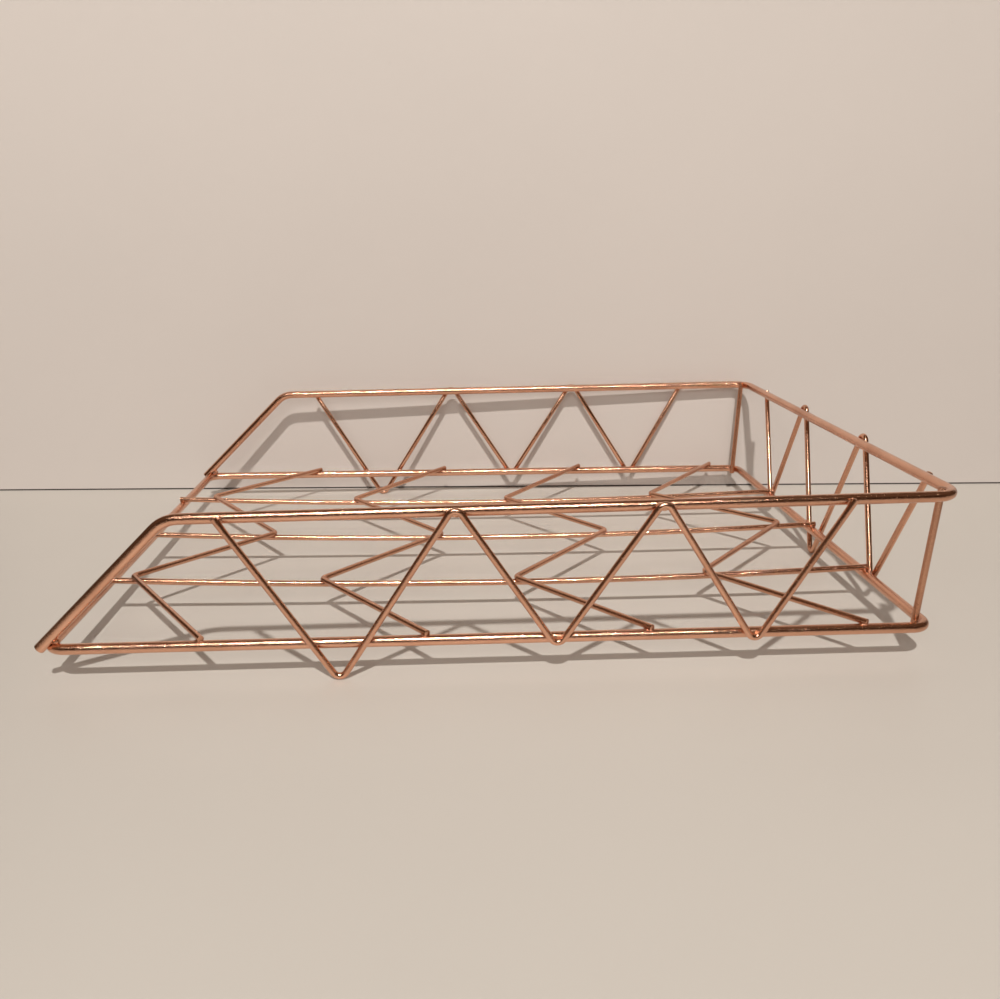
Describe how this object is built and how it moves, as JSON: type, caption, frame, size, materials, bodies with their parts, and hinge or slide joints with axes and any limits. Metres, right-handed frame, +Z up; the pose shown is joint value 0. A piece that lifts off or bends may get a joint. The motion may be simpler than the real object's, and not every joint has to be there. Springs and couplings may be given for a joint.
{
  "type": "letter tray",
  "caption": "Open-front desk letter tray of welded copper-coloured wire, with zigzag floor and walls, sloping front sides and bent-wire feet.",
  "frame": {"origin": "on the table under the middle of the tray: the centre of the bounding box's bottom face", "axes": "+Z up, +Y from the open front to the back wall, +X to the tray's right side seen from its front"},
  "size_m": [0.2488, 0.331, 0.0683],
  "materials": {
    "rail_wire": "bright copper plating on 4 mm steel wire",
    "floor_wire": "bright copper plating on thin steel wire",
    "wall_wire": "bright copper plating on thin steel wire",
    "post_wire": "bright copper plating on 2.6 mm steel wire",
    "weld_bead": "copper-plated weld metal"
  },
  "bodies": {
    "root": {"back_post_left": "post_wire", "back_post_right": "post_wire", "back_zigzag": "wall_wire", "base_frame": "rail_wire", "floor_rod_left": "floor_wire", "floor_rod_middle": "floor_wire", "floor_rod_right": "floor_wire", "floor_zigzag_1": "floor_wire", "floor_zigzag_2": "floor_wire", "floor_zigzag_3": "floor_wire", "floor_zigzag_4": "floor_wire", "front_corner_welds": "weld_bead", "post_foot_welds": "weld_bead", "post_head_welds": "weld_bead", "side_zigzag_left": "wall_wire", "side_zigzag_right": "wall_wire", "top_rim": "rail_wire"}
  },
  "joints": []
}
